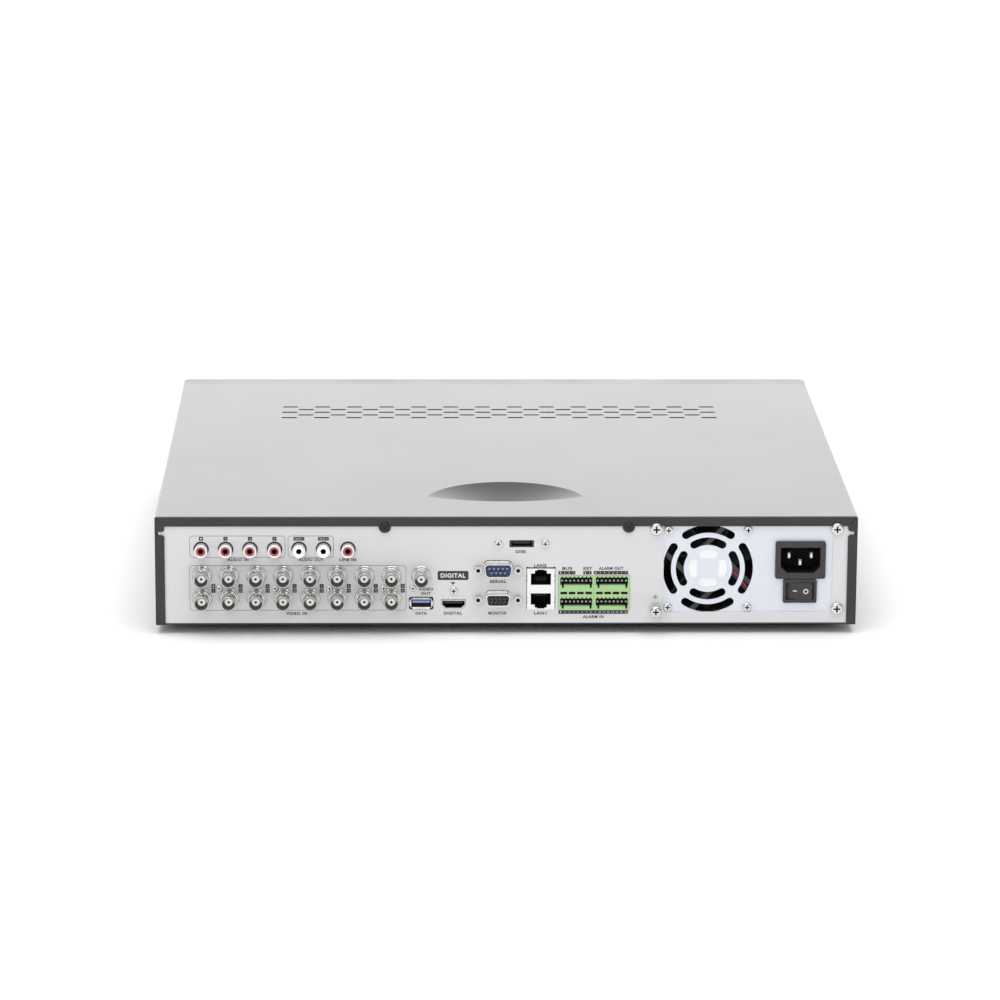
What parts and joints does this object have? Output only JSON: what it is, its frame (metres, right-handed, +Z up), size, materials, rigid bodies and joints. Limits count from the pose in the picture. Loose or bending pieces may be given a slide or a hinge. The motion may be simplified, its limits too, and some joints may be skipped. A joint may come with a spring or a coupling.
{
  "type": "video recorder",
  "caption": "Rack-width digital video recorder: dark steel case, rear panel of video, audio, network and terminal connectors, fan-cooled supply, front bezel with keys and jog dial.",
  "frame": {"origin": "on the floor under the middle of the whole, front dial and rear jacks included", "axes": "+Z up, front bezel faces -Y, connector panel faces +Y, long side along X"},
  "size_m": [0.44, 0.413, 0.076],
  "materials": {
    "black_steel": "satin powder coat",
    "panel_paint": "fine matt paint",
    "supply_plate": "zinc plate with a clear coat",
    "zinc": "zinc plated",
    "black_zinc": "black zinc",
    "nickel": "bright nickel",
    "red_liner": "moulded",
    "white_liner": "moulded",
    "black_plastic": "moulded",
    "bezel_plastic": "fine texture",
    "key_plastic": "moulded",
    "dial_plastic": "metallic lacquer",
    "blue_plastic": "moulded",
    "blue_insert": "moulded",
    "header_green": "moulded",
    "gold": "gold flash",
    "rubber_foot": "matt",
    "board_green": "solder mask",
    "smoke": "smoked",
    "light_pipe": "clear",
    "bare_aluminium": "cast and machined",
    "cable_red": "extruded jacket",
    "cable_black": "extruded jacket",
    "ribbon_grey": "flat jacket",
    "brass_nickel": "turned"
  },
  "bodies": {
    "chassis": {"base_pan": "black_steel", "rear_panel": "panel_paint", "top_cover": "black_steel", "feet": "rubber_foot", "foot_screws": "zinc", "cover_screws": "black_zinc", "supply_screws": "nickel", "fan_screws": "nickel", "panel_screws": "nickel", "ground_stud": "nickel", "audio_shells": "nickel", "audio_inserts_red": "red_liner", "audio_inserts_white": "white_liner", "jack_blocks": "black_plastic", "video_shells": "nickel", "video_cores": "white_liner", "video_contacts": "gold", "usb_shells": "nickel", "usb_tongues": "blue_plastic", "digital_shell": "nickel", "digital_tongue": "black_plastic", "disk_port": "black_plastic", "dsub_shells": "nickel", "serial_insert": "blue_insert", "monitor_insert": "black_plastic", "connector_pins": "gold", "jack_posts": "nickel", "lan_shield": "nickel", "lan_housing": "black_plastic", "terminal_headers": "header_green", "supply_case": "supply_plate", "supply_lid": "supply_plate", "supply_board": "board_green", "fan_frame": "black_plastic", "mains_inlet": "black_plastic", "inlet_pins": "brass_nickel", "rocker_frame": "black_plastic", "main_board": "board_green", "audio_board": "board_green", "board_standoffs": "brass_nickel", "heat_sink": "bare_aluminium", "drive_bracket": "zinc", "hard_drives": "bare_aluminium", "data_cables": "cable_red", "power_harness": "cable_black", "front_ribbon": "ribbon_grey", "front_bezel": "bezel_plastic", "status_window": "smoke", "light_pipes": "light_pipe", "dial_encoder": "zinc", "front_board": "board_green"},
    "fan_rotor": {"fan_rotor": "black_plastic"},
    "power_rocker": {"power_rocker": "black_plastic"},
    "power_button": {"power_button": "key_plastic"},
    "menu_key": {"menu_key": "key_plastic"},
    "play_key": {"play_key": "key_plastic"},
    "stop_key": {"stop_key": "key_plastic"},
    "record_key": {"record_key": "key_plastic"},
    "shuttle_ring": {"shuttle_ring": "dial_plastic"},
    "jog_dial": {"jog_dial": "dial_plastic"}
  },
  "joints": [
    {"name": "fan_spin", "type": "hinge", "parent": "chassis", "child": "fan_rotor", "pos_m": [-0.1265, 0.178, 0.04195], "axis": [0, 1, 0], "continuous": true},
    {"name": "power_switch", "type": "hinge", "parent": "chassis", "child": "power_rocker", "pos_m": [-0.1845, 0.1917, 0.0276], "axis": [0, 0, 1], "range_deg": [0, 20]},
    {"name": "power_press", "type": "slide", "parent": "chassis", "child": "power_button", "axis": [0, 1, 0], "range_m": [0, 0.001], "stiffness_N_per_m": 100, "springref_m": -0.001},
    {"name": "menu_press", "type": "slide", "parent": "chassis", "child": "menu_key", "axis": [0, 1, 0], "range_m": [0, 0.0008], "stiffness_N_per_m": 100, "springref_m": -0.001},
    {"name": "play_press", "type": "slide", "parent": "chassis", "child": "play_key", "axis": [0, 1, 0], "range_m": [0, 0.0008], "stiffness_N_per_m": 100, "springref_m": -0.001},
    {"name": "stop_press", "type": "slide", "parent": "chassis", "child": "stop_key", "axis": [0, 1, 0], "range_m": [0, 0.0008], "stiffness_N_per_m": 100, "springref_m": -0.001},
    {"name": "record_press", "type": "slide", "parent": "chassis", "child": "record_key", "axis": [0, 1, 0], "range_m": [0, 0.0008], "stiffness_N_per_m": 100, "springref_m": -0.001},
    {"name": "shuttle_turn", "type": "hinge", "parent": "chassis", "child": "shuttle_ring", "pos_m": [0.168, -0.195, 0.041], "axis": [0, 1, 0], "range_deg": [-70, 70], "stiffness_Nm_per_rad": 0.02},
    {"name": "jog_turn", "type": "hinge", "parent": "chassis", "child": "jog_dial", "pos_m": [0.168, -0.195, 0.041], "axis": [0, 1, 0], "continuous": true}
  ]
}
